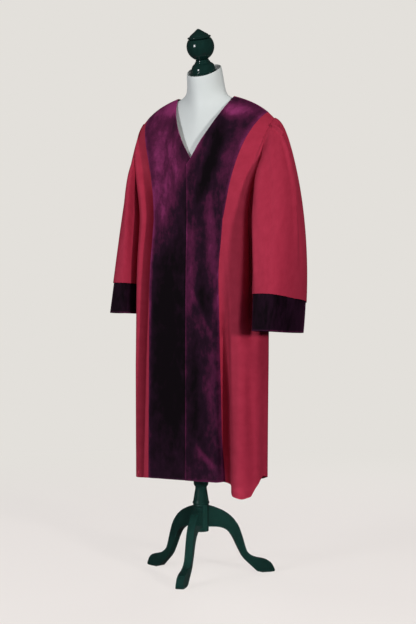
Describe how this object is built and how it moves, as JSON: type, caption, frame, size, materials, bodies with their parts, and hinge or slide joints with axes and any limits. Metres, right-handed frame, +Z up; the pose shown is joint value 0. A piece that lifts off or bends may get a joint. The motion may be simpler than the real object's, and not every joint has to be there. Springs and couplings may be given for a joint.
{
  "type": "judicial robe on limbless dress form with tripod stand",
  "caption": "Calf-length red robe with wide velvet front facings and deep turned-up velvet cuffs, worn on a smooth limbless dress form with a turned neck block and a turned tripod stand.",
  "frame": {"origin": "floor level, under the middle of the bounding box", "axes": "+Z up, +X towards the wearer's left, +Y towards the wearer's back; the robe opens towards -Y"},
  "size_m": [0.686, 0.4144, 1.7036],
  "materials": {
    "crimson_cloth": "fine wool cloth with a soft matt face",
    "velvet": "dark plum velvet with a short pile",
    "facing_cloth": "dark matt cloth",
    "form_shell": "smooth off-white, satin",
    "green_lacquer": "turned and cut wood under dark green gloss lacquer"
  },
  "bodies": {
    "root": {"velvet_left": "velvet", "velvet_right": "velvet", "front_left": "crimson_cloth", "front_right": "crimson_cloth", "back": "crimson_cloth", "sleeve_left": "crimson_cloth", "sleeve_right": "crimson_cloth", "cuff_left": "velvet", "cuff_right": "velvet", "neck_facing": "facing_cloth", "torso": "form_shell", "finial_base": "green_lacquer", "finial_ball": "green_lacquer", "finial_cap": "green_lacquer", "column": "green_lacquer", "hub": "green_lacquer", "leg_front": "green_lacquer", "leg_left": "green_lacquer", "leg_right": "green_lacquer"}
  },
  "joints": []
}
